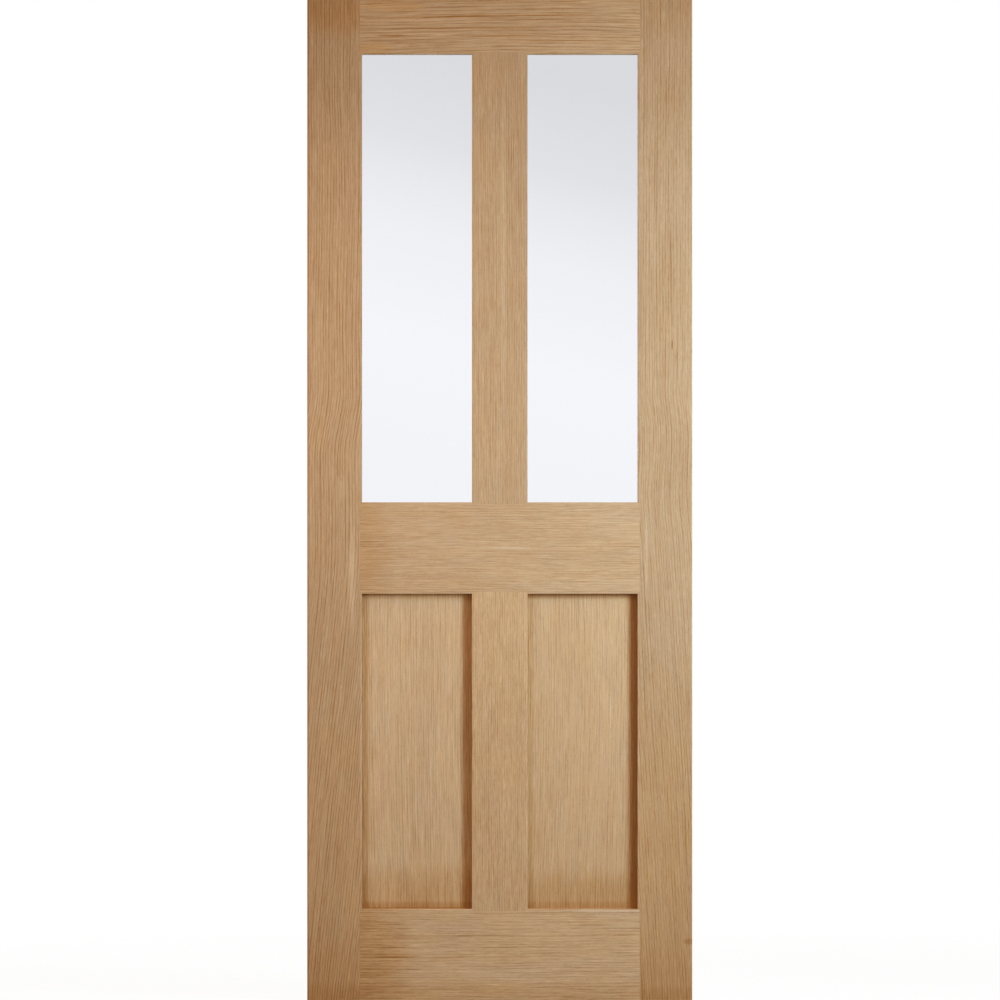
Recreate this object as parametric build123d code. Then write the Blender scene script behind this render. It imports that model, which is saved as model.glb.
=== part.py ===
from build123d import *
import os

# Glazed interior door leaf in oak: two tall panes over two flat panels.
# Millimetres. X runs across the leaf from its left edge, Y through its thickness from front to back,
# Z up from its bottom edge. The origin is on the left edge, at the bottom, in the middle of the thickness.

# Leaf
door_width = 762.0
door_height = 1981.0
door_thickness = 35.0

# Frame members
stile_width = 108.0
muntin_width = 110.0
top_rail_height = 108.0
middle_rail_height = 181.0
bottom_rail_height = 181.0
panel_opening_height = 624.0
edge_lipping = 8.0

# Worked edges of the members
sight_bevel_width = 4.0
sight_bevel_depth = 0.35
outer_arris_radius = 2.0
groove_depth = 12.0
tongue_end_room = 0.3

# Flat panels
panel_thickness = 11.0
panel_side_room = 0.15
panel_edge_room = 1.5

# Glazing
rebate_depth = 12.0
glass_thickness = 4.0
glass_edge_room = 2.0
seal_thickness = 1.0
seal_setback = 0.5
bead_room = 0.3
bead_chamfer = 4.0

# Places that follow from the sizes
front_face = -door_thickness / 2
back_face = door_thickness / 2
groove_width = panel_thickness + 2 * panel_side_room
opening_width = (door_width - 2 * stile_width - muntin_width) / 2
panel_opening_low = bottom_rail_height
panel_opening_high = panel_opening_low + panel_opening_height
pane_opening_low = panel_opening_high + middle_rail_height
pane_opening_high = door_height - top_rail_height
muntin_low = stile_width + opening_width
muntin_high = muntin_low + muntin_width
right_stile_low = door_width - stile_width
columns = {
    "left": (stile_width, muntin_low),
    "right": (muntin_high, right_stile_low),
}

# Planes through the thickness at the glass, from front to back
rebate_face = -groove_width / 2
glass_front = rebate_face + seal_thickness
glass_back = glass_front + glass_thickness
bead_front = glass_back + seal_thickness


def block(x_range, y_range, z_range):
    """A plain block between two planes along each axis."""
    corner = Pos(x_range[0], y_range[0], z_range[0])
    size = [high - low for low, high in (x_range, y_range, z_range)]
    return corner * Box(*size, align=(Align.MIN, Align.MIN, Align.MIN))


def worked_edge(section, edge, inward):
    """Bevel both arrises of one sight edge of a section, and plough the groove between them."""
    for face in (front_face, back_face):
        toward_middle = -1 if face > 0 else 1
        bevel = Polyline(
            (edge, face),
            (edge + inward * sight_bevel_width, face),
            (edge, face + toward_middle * sight_bevel_depth),
            close=True,
        )
        section = section - make_face(bevel)
    groove = Rectangle(groove_depth, groove_width)
    return section - Pos(edge + inward * groove_depth / 2, 0) * groove


def member_section(low, high, low_edge_worked, high_edge_worked):
    """Section of a frame member: its width along X, the thickness of the leaf along Y."""
    section = Pos((low + high) / 2, 0) * Rectangle(high - low, door_thickness)
    if low_edge_worked:
        section = worked_edge(section, low, 1)
    if high_edge_worked:
        section = worked_edge(section, high, -1)
    return section


def upright(section, low, high):
    """A member whose section runs up the leaf."""
    return extrude(Pos(0, 0, low) * section, amount=high - low)


def crosspiece(section, low, high):
    """A member whose section runs across the leaf."""
    across = Plane(origin=(low, 0, 0), x_dir=(0, 0, 1), z_dir=(1, 0, 0))
    return extrude(across * section, amount=high - low)


def glazing_rebates():
    """The room that is cut from the back for each pane and its beads."""
    rooms = []
    for low, high in columns.values():
        across = (low - rebate_depth, high + rebate_depth)
        up = (pane_opening_low - rebate_depth, pane_opening_high + rebate_depth)
        rooms.append(block(across, (rebate_face, back_face), up))
    return rooms


def rebated(member):
    """A member with the rooms for the panes cut out of its back."""
    for room in glazing_rebates():
        member = member - room
    return member


def grooved_stiles():
    """Both stiles as ploughed, grooved from end to end for the tongues of the rails and the panels."""
    left = member_section(edge_lipping, stile_width, False, True)
    right = member_section(right_stile_low, door_width - edge_lipping, True, False)
    return {
        "left_stile": upright(left, 0, door_height),
        "right_stile": upright(right, 0, door_height),
    }


def coped_rails(stiles):
    """Three rails, each scribed over the bevels of the stiles and tongued into their grooves."""
    sections = {
        "bottom_rail": member_section(0, bottom_rail_height, False, True),
        "middle_rail": member_section(panel_opening_high, pane_opening_low, True, True),
        "top_rail": member_section(pane_opening_high, door_height, True, False),
    }
    reach = groove_depth - tongue_end_room
    rails = {}
    for name, section in sections.items():
        rail = crosspiece(section, stile_width - reach, right_stile_low + reach)
        for stile in stiles.values():
            rail = rail - stile
        rails[name] = rail
    return rails


def coped_muntins(rails):
    """Two muntins, each scribed over the rails above and below it and tongued into their grooves."""
    section = member_section(muntin_low, muntin_high, True, True)
    reach = groove_depth - tongue_end_room
    spans = {
        "lower_muntin": (panel_opening_low, panel_opening_high),
        "upper_muntin": (pane_opening_low, pane_opening_high),
    }
    muntins = {}
    for name, (low, high) in spans.items():
        muntin = upright(section, low - reach, high + reach)
        for rail in rails.values():
            muntin = muntin - rail
        muntins[name] = muntin
    return muntins


def edge_lippings():
    """The solid strips that close the long outer edges, with their outer arrises rounded."""
    strips = {
        "left_edge_lipping": (0, edge_lipping, 0),
        "right_edge_lipping": (door_width - edge_lipping, door_width, door_width),
    }
    lippings = {}
    for name, (low, high, outer) in strips.items():
        strip = block((low, high), (front_face, back_face), (0, door_height))
        long_edges = strip.edges().filter_by(Axis.Z)
        arrises = long_edges.filter_by_position(Axis.X, outer - 0.01, outer + 0.01)
        lippings[name] = fillet(arrises, outer_arris_radius)
    return lippings


def flat_panels():
    """The boards that stand loose in the grooves, with room to move at their edges."""
    bite = groove_depth - panel_edge_room
    thickness = (-panel_thickness / 2, panel_thickness / 2)
    height = (panel_opening_low - bite, panel_opening_high + bite)
    panels = {}
    for side, (low, high) in columns.items():
        panels[f"{side}_panel"] = block((low - bite, high + bite), thickness, height)
    return panels


def glass_panes():
    """The clear sheets, with room all round in their rebates."""
    bite = rebate_depth - glass_edge_room
    height = (pane_opening_low - bite, pane_opening_high + bite)
    panes = {}
    for side, (low, high) in columns.items():
        panes[f"{side}_pane"] = block((low - bite, high + bite), (glass_front, glass_back), height)
    return panes


def glazing_seals():
    """The soft strips before and behind each pane, as frames as wide as the cover on the glass."""
    bite = rebate_depth - glass_edge_room
    layers = {"front": (rebate_face, glass_front), "back": (glass_back, bead_front)}
    seals = {}
    for side, (low, high) in columns.items():
        for place, layer in layers.items():
            sheet = block(
                (low - bite, high + bite),
                layer,
                (pane_opening_low - bite, pane_opening_high + bite),
            )
            window = block(
                (low - seal_setback, high + seal_setback),
                layer,
                (pane_opening_low - seal_setback, pane_opening_high + seal_setback),
            )
            seals[f"{side}_pane_{place}_seal"] = sheet - window
    return seals


def mitred_bead(outer_start, outer_end, inner_end, inner_start):
    """One bead between its two mitres, with the arris by the glass chamfered on the back."""
    outline = Polyline(outer_start, outer_end, inner_end, inner_start, close=True)
    face = Plane(origin=(0, bead_front, 0), x_dir=(1, 0, 0), z_dir=(0, -1, 0)) * make_face(outline)
    bead = extrude(face, amount=-(back_face - bead_front))
    middle_of_arris = Vector(
        (inner_start[0] + inner_end[0]) / 2, back_face, (inner_start[1] + inner_end[1]) / 2
    )
    arris = bead.edges().sort_by_distance(middle_of_arris)[0]
    return chamfer(arris, bead_chamfer)


def glazing_beads():
    """Four mitred beads behind each pane, as deep as the room left between the glass and the back."""
    beads = {}
    bite = rebate_depth - bead_room
    low_z, high_z = pane_opening_low, pane_opening_high
    for side, (low_x, high_x) in columns.items():
        inner = [(low_x, low_z), (high_x, low_z), (high_x, high_z), (low_x, high_z)]
        outer = [
            (low_x - bite, low_z - bite),
            (high_x + bite, low_z - bite),
            (high_x + bite, high_z + bite),
            (low_x - bite, high_z + bite),
        ]
        for index, place in enumerate(("bottom", "right", "top", "left")):
            following = (index + 1) % 4
            beads[f"{side}_pane_{place}_bead"] = mitred_bead(
                outer[index], outer[following], inner[following], inner[index]
            )
    return beads


def door_leaf():
    """Every piece of the leaf by its name."""
    stiles = grooved_stiles()
    rails = coped_rails(stiles)
    muntins = coped_muntins(rails)
    frame = {**stiles, **rails, **muntins}
    pieces = {name: rebated(member) for name, member in frame.items()}
    pieces.update(edge_lippings())
    pieces.update(flat_panels())
    pieces.update(glass_panes())
    pieces.update(glazing_seals())
    pieces.update(glazing_beads())
    return pieces


os.makedirs("parts", exist_ok=True)
for node, piece in door_leaf().items():
    export_step(piece, f"parts/{node}.step")
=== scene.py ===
import math
from typing import NamedTuple

import bmesh
import bpy
from bpy.props import FloatProperty, FloatVectorProperty, PointerProperty
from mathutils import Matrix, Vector


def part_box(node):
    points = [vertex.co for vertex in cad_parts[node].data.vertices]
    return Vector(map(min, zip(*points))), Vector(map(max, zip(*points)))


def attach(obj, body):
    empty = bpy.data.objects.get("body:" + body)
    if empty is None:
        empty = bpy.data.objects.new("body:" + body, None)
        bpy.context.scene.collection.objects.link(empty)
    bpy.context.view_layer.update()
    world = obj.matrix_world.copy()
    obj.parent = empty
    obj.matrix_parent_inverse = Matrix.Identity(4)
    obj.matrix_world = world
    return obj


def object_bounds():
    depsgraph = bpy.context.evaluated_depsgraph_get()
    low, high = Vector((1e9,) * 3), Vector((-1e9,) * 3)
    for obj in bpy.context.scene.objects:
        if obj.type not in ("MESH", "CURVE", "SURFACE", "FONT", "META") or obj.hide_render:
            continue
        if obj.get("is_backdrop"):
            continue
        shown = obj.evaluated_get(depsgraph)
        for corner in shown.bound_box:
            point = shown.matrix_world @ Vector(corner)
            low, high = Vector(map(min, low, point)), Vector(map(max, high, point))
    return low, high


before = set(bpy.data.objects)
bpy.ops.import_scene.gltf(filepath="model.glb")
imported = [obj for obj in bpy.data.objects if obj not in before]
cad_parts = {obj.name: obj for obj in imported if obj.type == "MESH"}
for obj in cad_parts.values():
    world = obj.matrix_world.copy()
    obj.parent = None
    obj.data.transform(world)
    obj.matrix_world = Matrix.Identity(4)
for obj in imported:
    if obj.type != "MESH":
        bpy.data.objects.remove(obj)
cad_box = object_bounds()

bl_info = {
    "name": "Glazed oak door leaf",
    "version": (1, 0, 0),
    "blender": (4, 5, 0),
    "location": "View3D > Sidebar > Door leaf",
    "description": "Finishes the oak, glass, seals and pins of a glazed interior door leaf",
    "category": "Object",
}

LEAF_LOW, LEAF_HIGH = cad_box
LEAF_CENTRE = (LEAF_LOW + LEAF_HIGH) / 2
MM = 0.001
LEAF_HEIGHT_MM = (LEAF_HIGH.z - LEAF_LOW.z) / MM
LEAF_THICKNESS_MM = (LEAF_HIGH.y - LEAF_LOW.y) / MM


def srgb(red, green, blue):
    """A colour as it is read off a screen, 0 to 255, in the linear values that a shader takes."""
    linear = []
    for part in (red, green, blue):
        value = part / 255
        if value <= 0.04045:
            linear.append(value / 12.92)
        else:
            linear.append(((value + 0.055) / 1.055) ** 2.4)
    return tuple(linear)


def colour_property(name, description, value):
    """A colour that a user can set, kept in linear values."""
    return FloatVectorProperty(
        name=name, description=description, subtype="COLOR", size=3, min=0.0, max=1.0, default=value
    )


class OakSettings(bpy.types.PropertyGroup):
    """Colours and finish of the oak, before the tone that each board has."""

    pale: colour_property("Pale wood", "Dense wood between the rows of pores", srgb(221, 194, 160))
    brown: colour_property("Brown wood", "Wood in the rows of pores", srgb(155, 113, 68))
    pore: colour_property("Pore", "Open pores along the grain", srgb(124, 78, 44))
    core: colour_property("Core", "Softwood staves inside the members", srgb(218, 196, 162))
    veneer: FloatProperty(
        name="Veneer", description="Thickness of the oak on the core", default=0.001, unit="LENGTH"
    )
    roughness: FloatProperty(
        name="Roughness", description="Roughness of the sanded face", default=0.52, min=0.0, max=1.0
    )


class GlassSettings(bpy.types.PropertyGroup):
    """Look of the clear panes."""

    tint: colour_property("Tint", "Colour of light through a pane", (0.99, 1.0, 0.995))
    index: FloatProperty(name="Index", description="Refractive index", default=1.5, min=1.0, max=2.0)


class SealSettings(bpy.types.PropertyGroup):
    """Look of the strips between the glass and the oak."""

    colour: colour_property("Colour", "Colour of the glazing strip", srgb(206, 200, 188))


class PinSettings(bpy.types.PropertyGroup):
    """Sizes and look of the pins that hold the beads."""

    radius: FloatProperty(name="Radius", description="Radius of a head", default=0.0009, unit="LENGTH")
    proud: FloatProperty(
        name="Proud", description="Height of a head above the bead", default=0.00015, unit="LENGTH"
    )
    sunk: FloatProperty(
        name="Sunk", description="Depth of a head in the bead", default=0.0005, unit="LENGTH"
    )
    from_end: FloatProperty(
        name="From end", description="From the end of a bead to its first pin", default=0.055, unit="LENGTH"
    )
    spacing: FloatProperty(
        name="Spacing", description="Greatest distance between two pins", default=0.2, unit="LENGTH"
    )
    chamfer: FloatProperty(
        name="Chamfer",
        description="Width of the chamfer that the pins are driven through",
        default=0.004,
        unit="LENGTH",
    )
    colour: colour_property("Colour", "Brass of the heads", srgb(206, 176, 118))


class StageSettings(bpy.types.PropertyGroup):
    """Camera, lamps and floor."""

    lens: FloatProperty(name="Lens", description="Focal length in millimetres", default=250.0)
    key: FloatProperty(name="Key", description="Power of the lamp on the right", default=27.0, min=0.0)
    fill: FloatProperty(name="Fill", description="Power of the lamp on the left", default=2.5, min=0.0)
    back: FloatProperty(name="Back", description="Power of the lamp behind", default=62.0, min=0.0)
    ambient: FloatProperty(name="Ambient", description="Strength of the light all round", default=0.66)
    floor_radius: FloatProperty(
        name="Floor radius", description="Radius of the floor", default=6.0, unit="LENGTH"
    )


class NodeSheet:
    """A node tree, with short calls that add a node and return the socket that matters."""

    def __init__(self, tree):
        self.tree = tree

    def node(self, kind, **settings):
        made = self.tree.nodes.new(kind)
        for name, value in settings.items():
            setattr(made, name, value)
        return made

    def feed(self, socket, value):
        if isinstance(value, bpy.types.NodeSocket):
            self.tree.links.new(value, socket)
        else:
            socket.default_value = value

    def maths(self, operation, *values, clamp=False):
        made = self.node("ShaderNodeMath", operation=operation, use_clamp=clamp)
        for socket, value in zip(made.inputs, values):
            self.feed(socket, value)
        return made.outputs[0]

    def vector_maths(self, operation, *values):
        made = self.node("ShaderNodeVectorMath", operation=operation)
        for socket, value in zip(made.inputs, values):
            self.feed(socket, value)
        return made.outputs[0]

    def split(self, vector):
        made = self.node("ShaderNodeSeparateXYZ")
        self.feed(made.inputs[0], vector)
        return made.outputs

    def joined(self, x, y, z):
        made = self.node("ShaderNodeCombineXYZ")
        for socket, value in zip(made.inputs, (x, y, z)):
            self.feed(socket, value)
        return made.outputs[0]

    def noise(self, vector, size, detail=1.0, roughness=0.5):
        """Noise round zero, with grains as large as the three lengths of size."""
        made = self.node("ShaderNodeTexNoise")
        self.feed(made.inputs["Vector"], self.vector_maths("DIVIDE", vector, size))
        made.inputs["Scale"].default_value = 1.0
        made.inputs["Detail"].default_value = detail
        made.inputs["Roughness"].default_value = roughness
        return self.maths("SUBTRACT", made.outputs["Fac"], 0.5)

    def ramp(self, value, low, high, to_low=0.0, to_high=1.0):
        """An even change from one value to another, smooth at both ends."""
        made = self.node("ShaderNodeMapRange", interpolation_type="SMOOTHSTEP")
        for socket, number in zip(made.inputs[:5], (value, low, high, to_low, to_high)):
            self.feed(socket, number)
        return made.outputs[0]

    def mixed(self, share, first, second):
        """Two colours mixed. Inputs 6 and 7 and output 2 of a Mix node are the ones for colours."""
        made = self.node("ShaderNodeMix", data_type="RGBA")
        self.feed(made.inputs[0], share)
        self.feed(made.inputs[6], first)
        self.feed(made.inputs[7], second)
        return made.outputs[2]

    def spot(self, beside, deep, beyond, half_size):
        """One in the middle of a soft oval and nothing outside it, by the distances from its middle."""
        offset = self.vector_maths("DIVIDE", self.joined(beside, deep, beyond), half_size)
        away = self.vector_maths("DOT_PRODUCT", offset, offset).node.outputs["Value"]
        return self.ramp(away, 0.0, 1.0, 1.0, 0.0)

    def background(self, colour, strength=1.0):
        made = self.node("ShaderNodeBackground")
        self.feed(made.inputs["Color"], colour)
        made.inputs["Strength"].default_value = strength
        return made.outputs[0]

    def mixed_shaders(self, share, first, second):
        made = self.node("ShaderNodeMixShader")
        for socket, value in zip(made.inputs, (share, first, second)):
            self.feed(socket, value)
        return made.outputs[0]

    def lead_out(self, shader, kind="ShaderNodeOutputMaterial"):
        self.feed(self.node(kind).inputs["Surface"], shader)


def rgba(colour):
    """A colour with full alpha."""
    return (*colour, 1.0)


FIGURE_NUMBERS = ("Seed", "MarkAndPaintedLight", "Ring width", "Rings", "Fibres", "Length", "Wander", "Tone", "Warmth")

# Grain sizes of the oak's noises, in millimetres across the grain, into the board and along the grain
WAVE = (90, 90, 400)
RIPPLE = (24, 24, 90)
RING_CHANGE = (13, 13, 40)
ROW_PATCH = (6, 6, 70)
FIBRE = (3.0, 3.0, 42)
DARK_STREAK = (1.9, 1.9, 48)
PALE_STREAK = (1.9, 1.9, 40)
HAIR = (0.9, 0.9, 14)
RIBBON = (9, 9, 260)
DRIFT = (60, 60, 240)
WARM_PATCH = (26, 26, 90)
PORE = (0.75, 0.75, 7.0)

# How far the ripple bends the lines beside the wave
RIPPLE_SHARE = 0.16

# Steps in millimetres that put each board, and each kind of streak, in its own part of the noises
BOARD_STEP = (370.0, 110.0, 8130.0)
DARK_STEP = (40, 0, 900)
PALE_STEP = (90, 0, 400)

# Growth rings: how far they lean as they go into the board, how much their width varies and how slowly
# that changes along the grain
RING_LEAN = 0.42
RING_VARIES = 1.6
RING_VARIES_ALONG = 0.02

# Rows of pores: where in a ring they are fullest and where they end, as shares of the ring, the strength of
# the weakest row, and the average of the rows over the wood
ROW_FULL = 0.1
ROW_END = 0.48
WEAKEST_ROW = 0.3
MEAN_ROW = 0.16

# Soft edges of the patches of strong rows and of the streaks, as values of a noise, and of the pores, as
# distances from the middle of a cell
PATCH_EDGE = (-0.16, 0.16)
STREAK_EDGE = (0.08, 0.24)
PORE_EDGE = (0.2, 0.38)

# Shares of the parts, in a tone that is brown at zero and pale at one
MIDDLE_TONE = 0.5
STREAK_SHARE = 0.45
HAIR_SHARE = 0.7
RIBBON_SHARE = 0.1
DRIFT_SHARE = 0.2

# Share of the pores that are open between the rows and how much larger it is in them, and how far a pore
# darkens and roughens the wood, and a fibre smooths it
PORES_BETWEEN = 0.1
PORES_MORE_IN_ROWS = 0.8
PORE_DARKENS = 0.4
PORE_ROUGHENS = 0.25
FIBRE_SMOOTHS = -0.25

# The colour of warm wood over that of plain wood, and how much less warm a paler mark is, so that darker
# marks and painted shade come out warmer
WARM_TINT = (1.08, 1.0, 0.84)
MARK_COOLS = -2.5

# Heights of the pores, hairs and fibres, as shares of the relief
PORE_HEIGHT = -1.0
HAIR_HEIGHT = 0.5
FIBRE_HEIGHT = 0.4


def pore_rows(sheet, ring_width, lines, bent, depth, along):
    """Growth rings: each starts with a row of pores and fades into pale wood."""
    through = sheet.maths("MULTIPLY_ADD", depth, RING_LEAN, bent)
    slowly = sheet.joined(through, 0.0, sheet.maths("MULTIPLY", along, RING_VARIES_ALONG))
    even = sheet.maths("DIVIDE", through, ring_width)
    rings = sheet.maths("MULTIPLY_ADD", sheet.noise(slowly, RING_CHANGE), RING_VARIES, even)
    turn = sheet.maths("FRACT", rings)
    starting = sheet.ramp(turn, 0.0, ROW_FULL)
    fading = sheet.ramp(turn, ROW_FULL, ROW_END, 1.0, 0.0)
    strength = sheet.ramp(sheet.noise(lines, ROW_PATCH), *PATCH_EDGE, WEAKEST_ROW, 1.0)
    return sheet.maths("MULTIPLY", sheet.maths("MULTIPLY", starting, fading), strength)


def streaks_at(sheet, lines, step, size):
    """One in the middle of a streak and nothing between streaks."""
    return sheet.ramp(sheet.noise(sheet.vector_maths("ADD", lines, step), size), *STREAK_EDGE)


def open_pores(sheet, place, rows):
    """Pores: short dashes, thick in the rows and thin in the rest."""
    cells = sheet.node("ShaderNodeTexVoronoi", feature="F1", distance="EUCLIDEAN")
    sheet.feed(cells.inputs["Vector"], sheet.vector_maths("DIVIDE", place, PORE))
    cells.inputs["Scale"].default_value = 1.0
    dash = sheet.ramp(cells.outputs["Distance"], *PORE_EDGE, 1.0, 0.0)
    chance = sheet.split(cells.outputs["Color"])[0]
    likely = sheet.maths("MULTIPLY_ADD", rows, PORES_MORE_IN_ROWS, PORES_BETWEEN)
    return sheet.maths("MULTIPLY", dash, sheet.maths("LESS_THAN", chance, likely))


def oak_colour(sheet, given, oak, place, tone, pores):
    """Brown to pale by the tone, warmer in patches, in dark marks and in painted shade, and dark in the
    pores.
    """
    colour = sheet.mixed(tone, rgba(oak.brown), rgba(oak.pale))
    warm = sheet.vector_maths("MULTIPLY", colour, WARM_TINT)
    warmth = sheet.maths("ADD", sheet.noise(place, WARM_PATCH), given["Warmth"])
    warmth = sheet.maths("MULTIPLY_ADD", given["MarkAndPaintedLight"], MARK_COOLS, warmth, clamp=True)
    colour = sheet.mixed(warmth, colour, warm)
    return sheet.mixed(sheet.maths("MULTIPLY", pores, PORE_DARKENS), colour, rgba(oak.pore))


def oak_figure(oak):
    """A group that draws oak: place in millimetres across the grain, into the board and along the grain."""
    group = bpy.data.node_groups.new("oak_figure", "ShaderNodeTree")
    sockets = group.interface
    sockets.new_socket("Place", in_out="INPUT", socket_type="NodeSocketVector")
    for name in FIGURE_NUMBERS:
        sockets.new_socket(name, in_out="INPUT", socket_type="NodeSocketFloat")
    sockets.new_socket("Colour", in_out="OUTPUT", socket_type="NodeSocketColor")
    sockets.new_socket("Roughness", in_out="OUTPUT", socket_type="NodeSocketFloat")
    sockets.new_socket("Height", in_out="OUTPUT", socket_type="NodeSocketFloat")

    sheet = NodeSheet(group)
    given = sheet.node("NodeGroupInput").outputs
    apart = sheet.vector_maths("SCALE", BOARD_STEP)
    sheet.feed(apart.node.inputs["Scale"], given["Seed"])
    place = sheet.vector_maths("ADD", given["Place"], apart)

    # The lines wander across the board as they run along it
    across, depth, along = sheet.split(place)
    wave = sheet.maths("MULTIPLY_ADD", sheet.noise(place, RIPPLE), RIPPLE_SHARE, sheet.noise(place, WAVE))
    bent = sheet.maths("MULTIPLY_ADD", wave, given["Wander"], across)
    lines = sheet.joined(bent, depth, sheet.maths("DIVIDE", along, given["Length"]))

    # Rows of pores, fibres with pale and dark streaks, hairs, ribbons of several rings, and a slow drift
    rows = pore_rows(sheet, given["Ring width"], lines, bent, depth, along)
    fibres = sheet.noise(lines, FIBRE)
    dark = streaks_at(sheet, lines, DARK_STEP, DARK_STREAK)
    pale = streaks_at(sheet, lines, PALE_STEP, PALE_STREAK)
    streaks = sheet.maths("MULTIPLY_ADD", sheet.maths("SUBTRACT", pale, dark), STREAK_SHARE, fibres)
    hairs = sheet.noise(lines, HAIR, detail=2.0, roughness=0.6)
    ribbons = sheet.noise(lines, RIBBON)
    drift = sheet.noise(place, DRIFT, detail=2.0)
    pores = open_pores(sheet, sheet.joined(bent, depth, along), rows)

    between_rows = sheet.maths("SUBTRACT", MEAN_ROW, rows)
    tone = sheet.maths("MULTIPLY_ADD", between_rows, given["Rings"], MIDDLE_TONE)
    for part, share in (
        (streaks, given["Fibres"]),
        (hairs, HAIR_SHARE),
        (ribbons, RIBBON_SHARE),
        (drift, DRIFT_SHARE),
    ):
        tone = sheet.maths("MULTIPLY_ADD", part, share, tone)
    tone = sheet.maths("ADD", tone, given["Tone"])
    # Marks in the wood, and painted shade, painted shadows and painted highlights, added to the tone
    tone = sheet.maths("ADD", tone, given["MarkAndPaintedLight"], clamp=True)

    rough = sheet.maths("MULTIPLY_ADD", pores, PORE_ROUGHENS, oak.roughness)
    rough = sheet.maths("MULTIPLY_ADD", fibres, FIBRE_SMOOTHS, rough)
    height = sheet.maths("MULTIPLY_ADD", pores, PORE_HEIGHT, sheet.maths("MULTIPLY", hairs, HAIR_HEIGHT))
    height = sheet.maths("MULTIPLY_ADD", fibres, FIBRE_HEIGHT, height)

    result = sheet.node("NodeGroupOutput").inputs
    sheet.feed(result["Colour"], oak_colour(sheet, given, oak, place, tone, pores))
    sheet.feed(result["Roughness"], rough)
    sheet.feed(result["Height"], height)


def blank_material(name):
    """A material with an empty node tree."""
    material = bpy.data.materials.new(name)
    material.use_nodes = True
    material.node_tree.nodes.clear()
    return material, NodeSheet(material.node_tree)


def object_place(sheet):
    """Object coordinates in millimetres."""
    place = sheet.node("ShaderNodeTexCoord").outputs["Object"]
    return sheet.vector_maths("MULTIPLY", place, (1 / MM, 1 / MM, 1 / MM))


MATT_SPECULAR = 0.1
BUMP_STRENGTH = 0.6


def shaded(sheet, colour, roughness, height, relief, specular=MATT_SPECULAR, metallic=0.0):
    """A plain surface with its colour, roughness, and relief in metres, led to the output."""
    shader = sheet.node("ShaderNodeBsdfPrincipled")
    sheet.feed(shader.inputs["Base Color"], colour)
    sheet.feed(shader.inputs["Roughness"], roughness)
    shader.inputs["Specular IOR Level"].default_value = specular
    shader.inputs["Metallic"].default_value = metallic
    bump = sheet.node("ShaderNodeBump")
    bump.inputs["Strength"].default_value = BUMP_STRENGTH
    bump.inputs["Distance"].default_value = relief
    sheet.feed(bump.inputs["Height"], height)
    sheet.feed(shader.inputs["Normal"], bump.outputs[0])
    sheet.lead_out(shader.outputs[0])


class Sweep(NamedTuple):
    """A stretch along the grain, in millimetres, by whose low end the lines have moved aside by the shift."""

    low: float
    high: float
    shift: float


class MarkAndPaintedLight(NamedTuple):
    """A soft oval on a board, in millimetres across and along the grain, with its own tone and warmth.

    It moves aside by its slope for each millimetre along the grain, and reaches so deep below the front.
    Some are marks in the wood, and the others are painted shade, painted shadows and painted highlights.
    """

    place: tuple
    half_size: tuple
    tone: float
    slope: float = 0.0
    warmth: float = 0.0
    deep: float = 1000.0


class Board(NamedTuple):
    """The figure of one board: its lines sweep aside, lean below a place along it, and carry marks and
    painted light.
    """

    seed: float
    ring: float
    rings: float
    fibres: float = 0.5
    length: float = 1.0
    wander: float = 12.0
    tone: float = 0.0
    warmth: float = 0.1
    lean: float = 0.0
    lean_below: float = 0.0
    sweeps: tuple = ()
    marks_and_painted_light: tuple = ()


LEFT_STILE = Board(
    seed=1.0,
    ring=5.4,
    rings=0.36,
    fibres=0.26,
    length=1.5,
    wander=14.0,
    tone=-0.125,
    warmth=0.0,
    lean=-0.11,
    lean_below=840.0,
    sweeps=(Sweep(1075.0, 1215.0, 18.0),),
    marks_and_painted_light=(
        MarkAndPaintedLight((66.0, 1014.0), (16.0, 34.0), 0.1),
        MarkAndPaintedLight((89.0, 855.0), (7.0, 170.0), 0.22),
        # Painted shade: darker and warmer at the top end, warmer towards the foot and darker at the foot
        MarkAndPaintedLight((54.0, 1981.0), (200.0, 90.0), -0.17, warmth=0.3),
        MarkAndPaintedLight((54.0, 100.0), (400.0, 650.0), 0.0, warmth=0.55),
        MarkAndPaintedLight((54.0, 0.0), (400.0, 150.0), -0.1),
        # Painted highlight along the sight edge beside the left panel
        MarkAndPaintedLight((107.0, 493.0), (2.6, 330.0), 0.2),
        # Painted shade at the foot and along the outer left arris
        MarkAndPaintedLight((54.0, 0.0), (400.0, 40.0), -0.12),
        MarkAndPaintedLight((0.0, 990.0), (5.0, 4000.0), -0.2),
    ),
)
RIGHT_STILE = Board(
    seed=2.0,
    ring=5.4,
    rings=0.29,
    fibres=0.26,
    length=1.3,
    wander=12.0,
    tone=-0.12,
    warmth=0.0,
    lean=0.06,
    lean_below=930.0,
    sweeps=(Sweep(1120.0, 1210.0, -8.0), Sweep(1000.0, 1100.0, 4.0), Sweep(890.0, 1000.0, -5.0)),
    marks_and_painted_light=(
        MarkAndPaintedLight((719.5, 1436.0), (3.0, 160.0), -0.16, -0.02),
        MarkAndPaintedLight((722.5, 1298.0), (2.2, 14.0), -0.4),
        MarkAndPaintedLight((671.0, 872.0), (5.0, 110.0), 0.18),
        MarkAndPaintedLight((758.0, 117.0), (18.0, 8.0), -0.25, deep=5.0),
        # Painted shade, darker at the top end
        MarkAndPaintedLight((708.0, 1981.0), (200.0, 90.0), -0.06),
        MarkAndPaintedLight((708.0, 1585.0), (400.0, 200.0), 0.06),
        # Painted shade: warmer towards the foot and darker at the foot
        MarkAndPaintedLight((708.0, 100.0), (400.0, 650.0), 0.0, warmth=0.8),
        MarkAndPaintedLight((708.0, 0.0), (400.0, 110.0), -0.08),
        # Painted highlight along the sight edge beside the right panel
        MarkAndPaintedLight((655.5, 493.0), (2.6, 330.0), 0.15),
        # Painted shade at the foot
        MarkAndPaintedLight((708.0, 0.0), (400.0, 30.0), -0.1),
    ),
)
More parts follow.
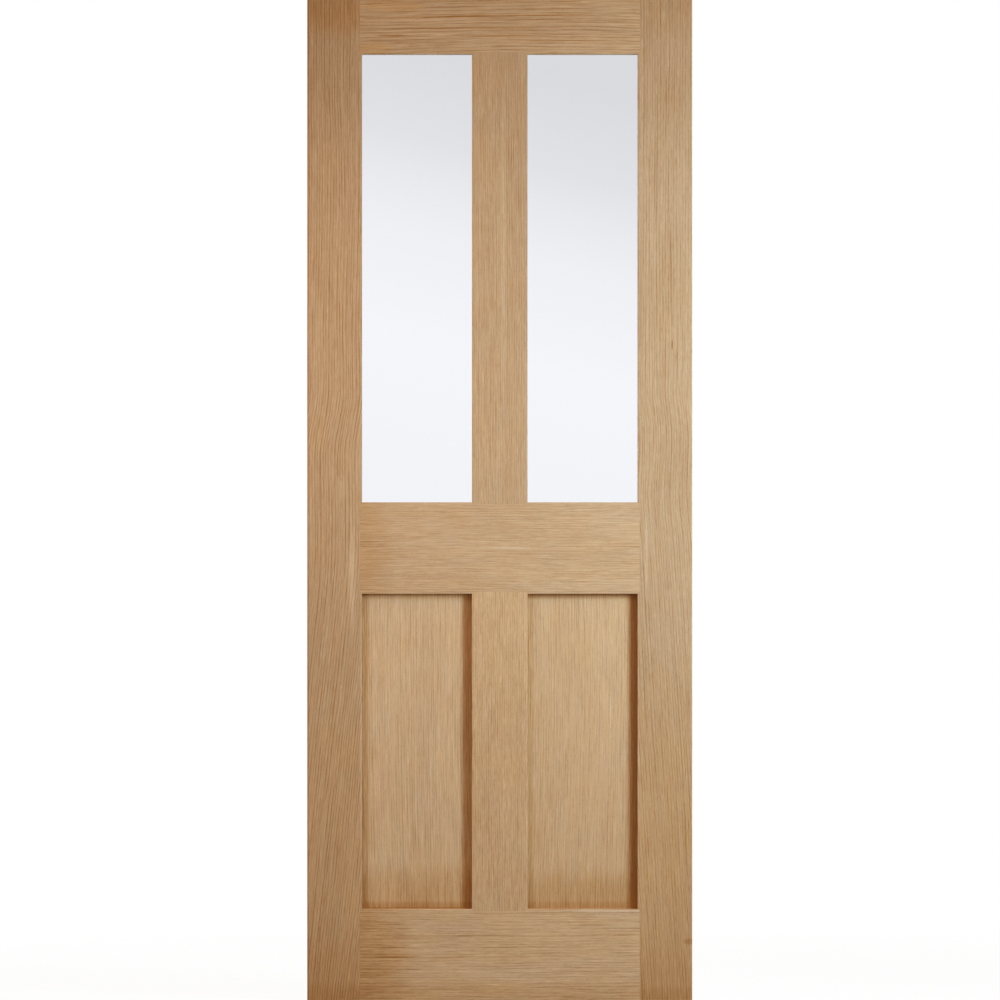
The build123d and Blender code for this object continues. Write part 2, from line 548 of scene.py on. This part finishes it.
TOP_RAIL = Board(
    seed=3.0,
    ring=6.6,
    rings=0.34,
    fibres=0.44,
    length=2.0,
    wander=16.0,
    tone=-0.037,
    warmth=0.25,
    lean=-0.014,
    lean_below=2000.0,
    marks_and_painted_light=(
        MarkAndPaintedLight((1948.0, 340.0), (1.8, 330.0), -0.3, 0.015),
        MarkAndPaintedLight((1948.5, 317.0), (2.2, 70.0), -0.26, 0.015),
        MarkAndPaintedLight((1909.7, 170.0), (1.9, 46.0), -0.42),
        MarkAndPaintedLight((1909.5, 382.0), (1.7, 130.0), -0.3, 0.016),
        MarkAndPaintedLight((1899.8, 508.0), (1.7, 110.0), -0.3, 0.008),
        MarkAndPaintedLight((1925.0, 390.0), (1.7, 300.0), -0.22, 0.012),
        # Painted shade along the top edge
        MarkAndPaintedLight((1981.0, 381.0), (12.0, 4000.0), -0.07),
        MarkAndPaintedLight((1968.0, 165.0), (14.0, 80.0), -0.04, warmth=0.9),
        MarkAndPaintedLight((1884.0, 130.0), (16.0, 45.0), 0.0, warmth=0.9),
    ),
)
MIDDLE_RAIL = Board(
    seed=4.0,
    ring=5.0,
    rings=0.17,
    fibres=0.27,
    length=1.6,
    wander=8.0,
    tone=0.005,
    warmth=0.25,
    marks_and_painted_light=(
        MarkAndPaintedLight((895.4, 385.0), (2.0, 85.0), 0.24),
        MarkAndPaintedLight((895.0, 90.0), (200.0, 90.0), -0.14),
    ),
)
BOTTOM_RAIL = Board(
    seed=5.0,
    ring=6.0,
    rings=0.28,
    fibres=0.4,
    length=1.2,
    wander=12.0,
    tone=0.12,
    warmth=0.4,
    marks_and_painted_light=(
        MarkAndPaintedLight((86.0, 180.0), (2.4, 60.0), -0.36),
        # Painted shade, darker towards the left end
        MarkAndPaintedLight((85.0, 80.0), (160.0, 150.0), -0.31),
        # Painted highlight along the top arris at the right
        MarkAndPaintedLight((178.0, 600.0), (2.6, 150.0), 0.25),
        # Painted shade, darker along the bottom edge
        MarkAndPaintedLight((0.0, 381.0), (45.0, 2000.0), -0.16),
    ),
)
UPPER_MUNTIN = Board(
    seed=6.0,
    ring=4.6,
    rings=0.21,
    fibres=0.34,
    length=1.5,
    wander=8.0,
    tone=-0.06,
    warmth=0.15,
    marks_and_painted_light=(MarkAndPaintedLight((388.0, 1500.0), (7.0, 420.0), 0.12),),
)
LOWER_MUNTIN = Board(seed=7.0, ring=4.4, rings=0.28, fibres=0.45, wander=8.0, tone=0.04, warmth=0.6)
LEFT_PANEL = Board(
    seed=8.0,
    ring=5.0,
    rings=0.26,
    fibres=0.36,
    length=1.7,
    wander=10.0,
    tone=0.16,
    warmth=0.35,
    lean=0.02,
    lean_below=500.0,
    marks_and_painted_light=(
        # Painted shade, darker towards the foot, with a painted shadow line where the panel meets the bottom
        # rail
        MarkAndPaintedLight((217.0, 181.0), (800.0, 100.0), -0.23),
        MarkAndPaintedLight((217.0, 181.0), (800.0, 18.0), -0.25),
        MarkAndPaintedLight((217.0, 181.0), (800.0, 5.0), -0.2),
        # Painted shadows in strips along the left and right edges
        MarkAndPaintedLight((108.0, 493.0), (17.0, 3000.0), -0.36),
        MarkAndPaintedLight((326.0, 493.0), (27.0, 3000.0), -0.36, warmth=-0.7),
        # Painted shadow under the middle rail: a warmer band with a dark line at the edge
        MarkAndPaintedLight((217.0, 805.0), (800.0, 16.0), 0.0, warmth=1.0),
        MarkAndPaintedLight((217.0, 805.0), (800.0, 3.5), -0.3),
    ),
)
RIGHT_PANEL = Board(
    seed=9.0,
    ring=5.0,
    rings=0.26,
    fibres=0.36,
    length=1.7,
    wander=10.0,
    tone=0.085,
    warmth=0.5,
    lean=-0.02,
    lean_below=500.0,
    marks_and_painted_light=(
        # Painted shade, darker towards the foot
        MarkAndPaintedLight((545.0, 181.0), (800.0, 85.0), -0.22),
        MarkAndPaintedLight((545.0, 181.0), (800.0, 18.0), -0.18),
        # Painted shadows in strips along the left and right edges
        MarkAndPaintedLight((436.0, 493.0), (16.0, 3000.0), -0.18),
        MarkAndPaintedLight((652.5, 493.0), (24.5, 3000.0), -0.56, warmth=-1.3),
        # Painted shadow under the middle rail, darker and warmer
        MarkAndPaintedLight((545.0, 805.0), (800.0, 13.0), -0.2, warmth=1.0),
    ),
)

UPRIGHT_BOARDS = {
    "left_stile": LEFT_STILE,
    "right_stile": RIGHT_STILE,
    "upper_muntin": UPPER_MUNTIN,
    "lower_muntin": LOWER_MUNTIN,
    "left_panel": LEFT_PANEL,
    "right_panel": RIGHT_PANEL,
    "left_edge_lipping": LEFT_STILE,
    "right_edge_lipping": RIGHT_STILE,
}
LEVEL_BOARDS = {"top_rail": TOP_RAIL, "middle_rail": MIDDLE_RAIL, "bottom_rail": BOTTOM_RAIL}
BEAD = Board(seed=20.0, ring=5.0, rings=0.3, wander=5.0)


# Length along the grain over which the lines of a board start to lean
LEAN_BEND_MM = 120.0


def oak_on_board(sheet, grain, board):
    """The oak figure of one board, with its lean, bends, marks and painted light, along one axis of the leaf.
    """
    across, depth, along = sheet.split(object_place(sheet))
    if grain == "X":
        across, along = along, across
    seen_across = across
    mark_and_painted_light = 0.0
    warmth = board.warmth
    below_front = sheet.maths("ADD", depth, LEAF_THICKNESS_MM / 2)
    # Each oval is a mark in the wood or painted shade, a painted shadow or a painted highlight
    for spot in board.marks_and_painted_light:
        beyond = sheet.maths("SUBTRACT", along, spot.place[1])
        beside = sheet.maths("MULTIPLY_ADD", beyond, -spot.slope, across)
        beside = sheet.maths("SUBTRACT", beside, spot.place[0])
        half_size = (spot.half_size[0], spot.deep, spot.half_size[1])
        bell = sheet.spot(beside, below_front, beyond, half_size)
        mark_and_painted_light = sheet.maths("MULTIPLY_ADD", bell, spot.tone, mark_and_painted_light)
        if spot.warmth:
            warmth = sheet.maths("MULTIPLY_ADD", bell, spot.warmth, warmth)
    for sweep in board.sweeps:
        aside = sheet.ramp(along, sweep.low, sweep.high, sweep.shift, 0.0)
        seen_across = sheet.maths("ADD", seen_across, aside)
    if board.lean:
        beyond = sheet.maths("SUBTRACT", along, board.lean_below)
        below = sheet.maths("SMOOTH_MIN", beyond, 0.0, LEAN_BEND_MM)
        seen_across = sheet.maths("MULTIPLY_ADD", below, board.lean, seen_across)
    drawn = sheet.node("ShaderNodeGroup", node_tree=bpy.data.node_groups["oak_figure"])
    sheet.feed(drawn.inputs["Place"], sheet.joined(seen_across, depth, along))
    sheet.feed(drawn.inputs["MarkAndPaintedLight"], mark_and_painted_light)
    sheet.feed(drawn.inputs["Warmth"], warmth)
    for name, value in (
        ("Seed", board.seed),
        ("Ring width", board.ring),
        ("Rings", board.rings),
        ("Fibres", board.fibres),
        ("Length", board.length),
        ("Wander", board.wander),
        ("Tone", board.tone),
    ):
        drawn.inputs[name].default_value = value
    return drawn.outputs


# Members whose core shows where the leaf is cut to its height, how deep the cut and the lines of glue are
# drawn, and the colour of late wood and glue over that of the core
CORED_MEMBERS = ("left_stile", "right_stile", "top_rail", "bottom_rail")
SAW_CUT_MM = 0.2
GLUE_MM = 0.2
LATE_WOOD = (0.72, 0.6, 0.5)

# The softwood of the core, in millimetres: long grain along a rail, and in the staves of a stile end grain,
# as rings round a heart that lies below each stave and aside by chance
LONG_GRAIN = (140, 1.6, 1)
LONG_GRAIN_EDGE = (-0.15, 0.2)
STAVE_MM = 27.0
STAVE_SEAM_MM = 0.3
STAVE_STEP = (0.37, 1, 1)
HEART_BELOW_MM = 32.0
HEART_ASIDE_MM = 120.0
CORE_RING_MM = 3.1
LATE_FROM = 0.45
LATE_FULL = 0.95
LATE_SHARE = 0.7


def core_figure(sheet, grain, x, y):
    """Softwood staves side by side: end grain in a stile, and long grain in the edge of a rail."""
    if grain == "X":
        return sheet.ramp(sheet.noise(sheet.joined(x, y, 0.0), LONG_GRAIN, detail=2.0), *LONG_GRAIN_EDGE)
    staves = sheet.maths("DIVIDE", x, STAVE_MM)
    number = sheet.maths("FLOOR", staves)
    beside = sheet.maths("MULTIPLY", sheet.maths("SUBTRACT", staves, number), STAVE_MM)
    chance = sheet.noise(sheet.joined(number, 0.0, 0.0), STAVE_STEP)
    aside = sheet.maths("MULTIPLY", chance, HEART_ASIDE_MM)
    heart = sheet.joined(sheet.maths("ADD", beside, aside), sheet.maths("ADD", y, HEART_BELOW_MM), 0.0)
    away = sheet.vector_maths("LENGTH", heart).node.outputs["Value"]
    ring = sheet.maths("FRACT", sheet.maths("DIVIDE", away, CORE_RING_MM))
    seam = sheet.maths("LESS_THAN", beside, STAVE_SEAM_MM)
    return sheet.maths("MAXIMUM", sheet.ramp(ring, LATE_FROM, LATE_FULL, 0.0, LATE_SHARE), seam)


def with_core(sheet, grain, colour, oak):
    """The colour of a member, with the core between its veneers where the leaf is cut to its height."""
    x, y, z = sheet.split(object_place(sheet))
    half_height = LEAF_HEIGHT_MM / 2
    from_middle = sheet.maths("ABSOLUTE", sheet.maths("SUBTRACT", z, half_height))
    cut = sheet.maths("GREATER_THAN", from_middle, half_height - SAW_CUT_MM)
    deep = sheet.maths("ABSOLUTE", y)
    glued = LEAF_THICKNESS_MM / 2 - oak.veneer / MM
    glue = sheet.maths("GREATER_THAN", deep, glued - GLUE_MM)
    dark = sheet.maths("MAXIMUM", core_figure(sheet, grain, x, y), glue)
    late = rgba([part * share for part, share in zip(oak.core, LATE_WOOD)])
    core = sheet.mixed(dark, rgba(oak.core), late)
    return sheet.mixed(sheet.maths("MULTIPLY", cut, sheet.maths("LESS_THAN", deep, glued)), colour, core)


# Depth of the grain in metres
OAK_RELIEF = 0.00012


def oak_material(name, grain, board, cored=False):
    """Oak whose grain runs along one axis of the leaf, with the figure of one board."""
    material, sheet = blank_material(name)
    drawn = oak_on_board(sheet, grain, board)
    colour = drawn["Colour"]
    if cored:
        colour = with_core(sheet, grain, colour, bpy.context.scene.leaf_oak)
    shaded(sheet, colour, drawn["Roughness"], drawn["Height"], OAK_RELIEF)
    return material


def finish_node(node, material):
    """Gives a piece of the leaf its material on every slot."""
    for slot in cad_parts[node].material_slots:
        slot.material = material


def finish_boards(grain, boards):
    """Gives each named piece its own oak."""
    for node, board in boards.items():
        finish_node(node, oak_material(f"oak_{node}", grain, board, node in CORED_MEMBERS))


class LEAF_OT_draw_oak(bpy.types.Operator):
    """Draw the oak figure that every board shares"""

    bl_idname = "leaf.draw_oak"
    bl_label = "Draw oak"

    def execute(self, context):
        oak_figure(context.scene.leaf_oak)
        return {"FINISHED"}


class LEAF_OT_finish_uprights(bpy.types.Operator):
    """Finish the stiles, muntins, panels and lippings, with upright grain"""

    bl_idname = "leaf.finish_uprights"
    bl_label = "Finish uprights"

    def execute(self, context):
        finish_boards("Z", UPRIGHT_BOARDS)
        return {"FINISHED"}


class LEAF_OT_finish_rails(bpy.types.Operator):
    """Finish the three rails, with level grain"""

    bl_idname = "leaf.finish_rails"
    bl_label = "Finish rails"

    def execute(self, context):
        finish_boards("X", LEVEL_BOARDS)
        return {"FINISHED"}


class LEAF_OT_finish_beads(bpy.types.Operator):
    """Finish the beads, each with the grain along its length"""

    bl_idname = "leaf.finish_beads"
    bl_label = "Finish beads"

    def execute(self, context):
        beads = sorted(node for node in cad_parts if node.endswith("_bead"))
        for number, node in enumerate(beads):
            level = node.endswith("top_bead") or node.endswith("bottom_bead")
            finish_boards("X" if level else "Z", {node: BEAD._replace(seed=BEAD.seed + number)})
        return {"FINISHED"}


class LEAF_OT_glaze(bpy.types.Operator):
    """Give both panes their clear glass"""

    bl_idname = "leaf.glaze"
    bl_label = "Glaze"

    def execute(self, context):
        glass = context.scene.leaf_glass
        material, sheet = blank_material("clear_glass")
        shader = sheet.node("ShaderNodeBsdfPrincipled")
        shader.inputs["Base Color"].default_value = rgba(glass.tint)
        shader.inputs["Roughness"].default_value = 0.0
        shader.inputs["IOR"].default_value = glass.index
        shader.inputs["Transmission Weight"].default_value = 1.0
        sheet.lead_out(shader.outputs[0])
        for node in ("left_pane", "right_pane"):
            finish_node(node, material)
        return {"FINISHED"}


# Mottles of the seals and the brass: the edge between dark and light, and how far the noise reaches
MOTTLE_EDGE = (-0.2, 0.2)
MOTTLE_REACH = (-0.3, 0.3)
SEAL_MOTTLE = (3, 3, 3)
SEAL_DARK = 0.85
SEAL_ROUGHNESS = (0.55, 0.75)
SEAL_RELIEF = 0.00005


class LEAF_OT_finish_seals(bpy.types.Operator):
    """Give the glazing strips their soft, slightly mottled finish"""

    bl_idname = "leaf.finish_seals"
    bl_label = "Finish seals"

    def execute(self, context):
        material, sheet = blank_material("glazing_strip")
        mottle = sheet.noise(object_place(sheet), SEAL_MOTTLE, detail=3.0)
        colour = context.scene.leaf_seal.colour
        dark = rgba([part * SEAL_DARK for part in colour])
        seen = sheet.mixed(sheet.ramp(mottle, *MOTTLE_EDGE), dark, rgba(colour))
        shaded(sheet, seen, sheet.ramp(mottle, *MOTTLE_REACH, *SEAL_ROUGHNESS), mottle, SEAL_RELIEF)
        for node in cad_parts:
            if node.endswith("_seal"):
                finish_node(node, material)
        return {"FINISHED"}


def deselect_all():
    """Nothing selected and no mode left open."""
    if bpy.context.mode != "OBJECT":
        bpy.ops.object.mode_set(mode="OBJECT")
    bpy.ops.object.select_all(action="DESELECT")


def pick_faces(piece, wanted):
    """Selects, in edit mode, the faces of a piece that pass a test."""
    bpy.ops.mesh.select_mode(type="FACE")
    bpy.ops.mesh.select_all(action="DESELECT")
    mesh = bmesh.from_edit_mesh(piece.data)
    for face in mesh.faces:
        face.select_set(wanted(face))
    bmesh.update_edit_mesh(piece.data)


def is_top(face):
    """True for a level face above the origin."""
    level = 0.99
    return face.normal.z > level and face.calc_center_median().z > 0.0


def joined_piece(pieces, name):
    """Joins pieces into one under a new name."""
    deselect_all()
    for piece in pieces:
        piece.select_set(True)
    bpy.context.view_layer.objects.active = pieces[0]
    bpy.ops.object.join()
    whole = bpy.context.object
    whole.name = whole.data.name = name
    return whole


# Shape of a pin head, as shares of its radius and its height, and the look of its brass
HEAD_SIDES = 20
RIM_SHARE = 0.9
RIM_STEPS = 3
HOLLOW_INSET_SHARE = 0.4
HOLLOW_DEPTH_SHARE = 0.6
SMOOTH_BELOW = math.radians(35)
BRASS_MOTTLE = (0.5, 0.5, 0.5)
BRASS_DARK = 0.45
BRASS_ROUGHNESS = (0.5, 0.28)
BRASS_RELIEF = 0.00001
BRASS_SPECULAR = 0.5

TOWARDS_PANE = {
    "bottom": (0.0, 0.0, 1.0),
    "right": (-1.0, 0.0, 0.0),
    "top": (0.0, 0.0, -1.0),
    "left": (1.0, 0.0, 0.0),
}


def pin_places(bead, inward, pins):
    """Points on the chamfer of a bead, evenly spread from its first pin to its last."""
    low, high = (Vector(corner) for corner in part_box(bead))
    axis = 0 if inward.x else 2
    run = 2 - axis
    point = (low + high) / 2
    point.y = high.y - pins.chamfer / 2
    point[axis] = (high if inward[axis] > 0 else low)[axis] - inward[axis] * pins.chamfer / 2
    first = low[run] + pins.from_end
    last = high[run] - pins.from_end
    gaps = math.ceil((last - first) / pins.spacing)
    for number in range(gaps + 1):
        point[run] = first + (last - first) * number / gaps
        yield point.copy()


class LEAF_OT_drive_pins(bpy.types.Operator):
    """Model one pin head, and set a copy of it at every place on the chamfers of the beads"""

    bl_idname = "leaf.drive_pins"
    bl_label = "Drive pins"

    def execute(self, context):
        pins = context.scene.leaf_pins
        head = self.model_head(pins)
        head.data.materials.append(self.brass(pins))
        for side in ("left", "right"):
            heads = []
            for place, direction in TOWARDS_PANE.items():
                inward = Vector(direction)
                outward = inward + Vector((0.0, 1.0, 0.0))
                for point in pin_places(f"{side}_pane_{place}_bead", inward, pins):
                    heads.append(self.set_copy(head, point, outward))
            piece = joined_piece(heads, f"{side}_bead_pins")
            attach(piece, "root")
        bpy.data.meshes.remove(head.data)
        return {"FINISHED"}

    def model_head(self, pins):
        """A disc round the origin that faces up, with a rounded rim and a hollow from the punch."""
        deselect_all()
        bpy.ops.mesh.primitive_circle_add(vertices=HEAD_SIDES, radius=pins.radius, fill_type="NGON")
        head = bpy.context.object
        head.name = "pin_head"
        bpy.ops.object.mode_set(mode="EDIT")
        bpy.ops.mesh.select_all(action="SELECT")
        bpy.ops.transform.translate(value=(0.0, 0.0, -pins.sunk))
        height = pins.sunk + pins.proud
        bpy.ops.mesh.extrude_region_move(TRANSFORM_OT_translate={"value": (0.0, 0.0, height)})
        bpy.ops.mesh.bevel(offset=pins.proud * RIM_SHARE, segments=RIM_STEPS, affect="EDGES")
        pick_faces(head, is_top)
        hollow = pins.proud * HOLLOW_DEPTH_SHARE
        bpy.ops.mesh.inset(thickness=pins.radius * HOLLOW_INSET_SHARE, depth=-hollow)
        bpy.ops.mesh.select_all(action="SELECT")
        bpy.ops.mesh.normals_make_consistent(inside=False)
        bpy.ops.object.mode_set(mode="OBJECT")
        bpy.ops.object.shade_smooth_by_angle(angle=SMOOTH_BELOW)
        return head

    def set_copy(self, head, point, outward):
        """A copy of the head with its own mesh, turned to face outward and set at the point."""
        deselect_all()
        head.select_set(True)
        bpy.context.view_layer.objects.active = head
        bpy.ops.object.duplicate(linked=False)
        copy = bpy.context.object
        copy.rotation_euler = outward.to_track_quat("Z", "Y").to_euler()
        copy.location = point
        bpy.ops.object.transform_apply(location=True, rotation=True, scale=False)
        return copy

    def brass(self, pins):
        """Brass that has dulled unevenly."""
        material, sheet = blank_material("pin_brass")
        dulled = sheet.ramp(sheet.noise(object_place(sheet), BRASS_MOTTLE, detail=3.0), *MOTTLE_EDGE)
        dark = rgba([part * BRASS_DARK for part in pins.colour])
        colour = sheet.mixed(dulled, dark, rgba(pins.colour))
        roughness = sheet.ramp(dulled, 0.0, 1.0, *BRASS_ROUGHNESS)
        shaded(sheet, colour, roughness, dulled, BRASS_RELIEF, BRASS_SPECULAR, metallic=1.0)
        return material


class Lamp(NamedTuple):
    """A soft lamp: where it hangs, what it points at, its size, its colour and how far its light spreads."""

    place: tuple
    target: tuple
    size: tuple
    colour: tuple
    spread: float


KEY_LAMP = Lamp((2.096, -1.1, 1.407), (0.4, 0.0, 0.878), (0.5, 0.9), (0.552, 0.814, 1.0), 122)
FILL_LAMP = Lamp((-0.425, -0.7, 1.663), (0.671, 0.0, 0.084), (0.7, 0.7), (1.0, 0.88, 0.757), 126)
BACK_LAMP = Lamp((-1.3, 2.2, 3.0), (0.38, 0.0, 0.9), (1.4, 1.4), (0.6, 0.83, 1.0), 150)

# The camera: how much of the frame's height the leaf fills, and how many metres right of its middle it stands
SENSOR_WIDTH_MM = 36.0
FRAME_FILL = 1.001
ASIDE = 0.0005

WHITE = (1.0, 1.0, 1.0, 1.0)

# The floor: metres from the leaf between which its paint gives way to white, the share of white by the
# leaf, the brightness of the paint, and how much darker it is to light that it sends on to the leaf
FADE_START = 0.9
FADE_END = 2.6
WHITE_SHARE_AT_LEAF = 0.93
FLOOR_SIDES = 96
FLOOR_PAINT = 0.8
FLOOR_BOUNCE_LESS = -0.55

# The surroundings: the colour of their light, and the levels of the white behind the glass, by metres above
# the middle of the leaf in the direction in which it greys
AMBIENT_COLOUR = (1.0, 0.62, 0.36, 1.0)
GREYS_TOWARDS = Vector((0.25, 0.0, 1.0))
GREY_TINT = (1.0, 1.003, 1.05)
GRADES = {0.0: 0.895, 0.28: 0.915, 0.496: 0.862, 0.594: 0.81, 0.678: 0.75, 0.865: 0.69}


def viewing_distance(stage):
    """How far the camera stands from the front face, for the leaf to fill a square frame by a hair."""
    return (LEAF_HIGH.z - LEAF_LOW.z) * stage.lens / SENSOR_WIDTH_MM / FRAME_FILL


class LEAF_OT_set_stage(bpy.types.Operator):
    """Set the camera, the lamps, the floor and the white surroundings"""

    bl_idname = "leaf.set_stage"
    bl_label = "Set stage"

    def execute(self, context):
        stage = context.scene.leaf_stage
        self.place_camera(context, stage)
        self.hang_lamp(context, "key", KEY_LAMP, stage.key)
        self.hang_lamp(context, "fill", FILL_LAMP, stage.fill)
        self.hang_lamp(context, "back", BACK_LAMP, stage.back)
        self.lay_floor(stage)
        self.paint_surroundings(context, stage)
        context.scene.view_settings.view_transform = "Standard"
        return {"FINISHED"}

    def place_camera(self, context, stage):
        """Square on to the leaf, so far away that its front face fills the frame from top to bottom."""
        data = bpy.data.cameras.new("camera")
        data.lens = stage.lens
        data.sensor_width = SENSOR_WIDTH_MM
        camera = bpy.data.objects.new("camera", data)
        context.scene.collection.objects.link(camera)
        camera.location = (LEAF_CENTRE.x + ASIDE, LEAF_LOW.y - viewing_distance(stage), LEAF_CENTRE.z)
        camera.rotation_euler = (math.radians(90), 0, 0)
        context.scene.camera = camera

    def hang_lamp(self, context, name, lamp, power):
        data = bpy.data.lights.new(name, "AREA")
        data.shape = "RECTANGLE"
        data.size, data.size_y = lamp.size
        data.energy = power
        data.color = lamp.colour
        data.spread = math.radians(lamp.spread)
        hung = bpy.data.objects.new(name, data)
        context.scene.collection.objects.link(hung)
        hung.location = lamp.place
        hung.rotation_euler = (Vector(lamp.target) - Vector(lamp.place)).to_track_quat("-Z", "Y").to_euler()

    def lay_floor(self, stage):
        """A round floor under the leaf, which fades into the white surroundings."""
        deselect_all()
        bpy.ops.mesh.primitive_circle_add(
            vertices=FLOOR_SIDES,
            radius=stage.floor_radius,
            fill_type="NGON",
            location=(LEAF_CENTRE.x, LEAF_CENTRE.y, LEAF_LOW.z),
        )
        floor = bpy.context.object
        floor.name = "floor"
        bpy.ops.object.transform_apply(location=True)
        material, sheet = blank_material("pale_floor")
        place = sheet.node("ShaderNodeTexCoord").outputs["Object"]
        away = sheet.vector_maths("DISTANCE", place, tuple(LEAF_CENTRE * Vector((1, 1, 0))))
        away = away.node.outputs["Value"]
        path = sheet.node("ShaderNodeLightPath")
        seen = sheet.maths("ADD", path.outputs["Is Camera Ray"], path.outputs["Is Glossy Ray"])
        seen = sheet.maths("ADD", seen, path.outputs["Is Transmission Ray"], clamp=True)
        share = sheet.ramp(away, FADE_START, FADE_END, WHITE_SHARE_AT_LEAF, 1.0)
        paint = sheet.node("ShaderNodeBsdfDiffuse")
        bounced = path.outputs["Is Diffuse Ray"]
        brightness = sheet.maths("MULTIPLY_ADD", bounced, FLOOR_BOUNCE_LESS, FLOOR_PAINT)
        sheet.feed(paint.inputs["Color"], brightness)
        white = sheet.node("ShaderNodeEmission")
        white.inputs["Color"].default_value = WHITE
        white.inputs["Strength"].default_value = 1.0
        shown = sheet.maths("MULTIPLY", seen, share)
        sheet.lead_out(sheet.mixed_shaders(shown, paint.outputs[0], white.outputs[0]))
        floor.data.materials.append(material)
        floor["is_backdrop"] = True

    def paint_surroundings(self, context, stage):
        """White to the eye and in reflections, graded through the glass, and dim as light."""
        world = bpy.data.worlds.new("surroundings")
        context.scene.world = world
        world.use_nodes = True
        world.node_tree.nodes.clear()
        sheet = NodeSheet(world.node_tree)
        path = sheet.node("ShaderNodeLightPath")
        dim = sheet.background(AMBIENT_COLOUR, stage.ambient)
        through = sheet.background(self.graded_white(sheet, viewing_distance(stage)))
        seen = sheet.maths("ADD", path.outputs["Is Camera Ray"], path.outputs["Is Glossy Ray"], clamp=True)
        around = sheet.mixed_shaders(seen, dim, sheet.background(WHITE))
        whole = sheet.mixed_shaders(path.outputs["Is Transmission Ray"], around, through)
        sheet.lead_out(whole, "ShaderNodeOutputWorld")

    def graded_white(self, sheet, distance):
        """White that greys upwards and a little to the right, as it is seen from a distance in metres."""
        direction = sheet.node("ShaderNodeTexCoord").outputs["Generated"]
        slope = tuple(GREYS_TOWARDS * distance)
        height = sheet.vector_maths("DOT_PRODUCT", direction, slope).node.outputs["Value"]
        band = sheet.node("ShaderNodeValToRGB")
        stops = band.color_ramp.elements
        while len(stops) < len(GRADES):
            stops.new(0.5)
        for stop, (place, level) in zip(stops, GRADES.items()):
            stop.position = place
            stop.color = rgba([level * part for part in GREY_TINT])
        sheet.feed(band.inputs[0], height)
        return band.outputs[0]


class LEAF_PT_tools(bpy.types.Panel):
    """Lists the sizes, the colours and the steps of the finish"""

    bl_idname = "LEAF_PT_tools"
    bl_label = "Door leaf"
    bl_space_type = "VIEW_3D"
    bl_region_type = "UI"
    bl_category = "Door leaf"

    def draw(self, context):
        for name in SETTINGS:
            settings = getattr(context.scene, name)
            column = self.layout.column(align=True)
            for field in settings.__annotations__:
                column.prop(settings, field)
        for step in STEPS:
            self.layout.operator(step.bl_idname)


SETTINGS = {
    "leaf_oak": OakSettings,
    "leaf_glass": GlassSettings,
    "leaf_seal": SealSettings,
    "leaf_pins": PinSettings,
    "leaf_stage": StageSettings,
}
STEPS = (
    LEAF_OT_draw_oak,
    LEAF_OT_finish_uprights,
    LEAF_OT_finish_rails,
    LEAF_OT_finish_beads,
    LEAF_OT_glaze,
    LEAF_OT_finish_seals,
    LEAF_OT_drive_pins,
    LEAF_OT_set_stage,
)


def register():
    """Registers the settings, the steps and the panel."""
    for name, settings in SETTINGS.items():
        bpy.utils.register_class(settings)
        setattr(bpy.types.Scene, name, PointerProperty(type=settings))
    for step in STEPS:
        bpy.utils.register_class(step)
    bpy.utils.register_class(LEAF_PT_tools)


def unregister():
    """Takes the panel, the steps and the settings away again."""
    bpy.utils.unregister_class(LEAF_PT_tools)
    for step in reversed(STEPS):
        bpy.utils.unregister_class(step)
    for name, settings in SETTINGS.items():
        delattr(bpy.types.Scene, name)
        bpy.utils.unregister_class(settings)


def main():
    """Runs every step in order."""
    register()
    bpy.ops.leaf.draw_oak()
    bpy.ops.leaf.finish_uprights()
    bpy.ops.leaf.finish_rails()
    bpy.ops.leaf.finish_beads()
    bpy.ops.leaf.glaze()
    bpy.ops.leaf.finish_seals()
    bpy.ops.leaf.drive_pins()
    bpy.ops.leaf.set_stage()
    boxes = {"cad": cad_box, "visual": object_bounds()}
    {name: [list(corner) for corner in box] for name, box in boxes.items()}


if __name__ == "__main__":
    main()
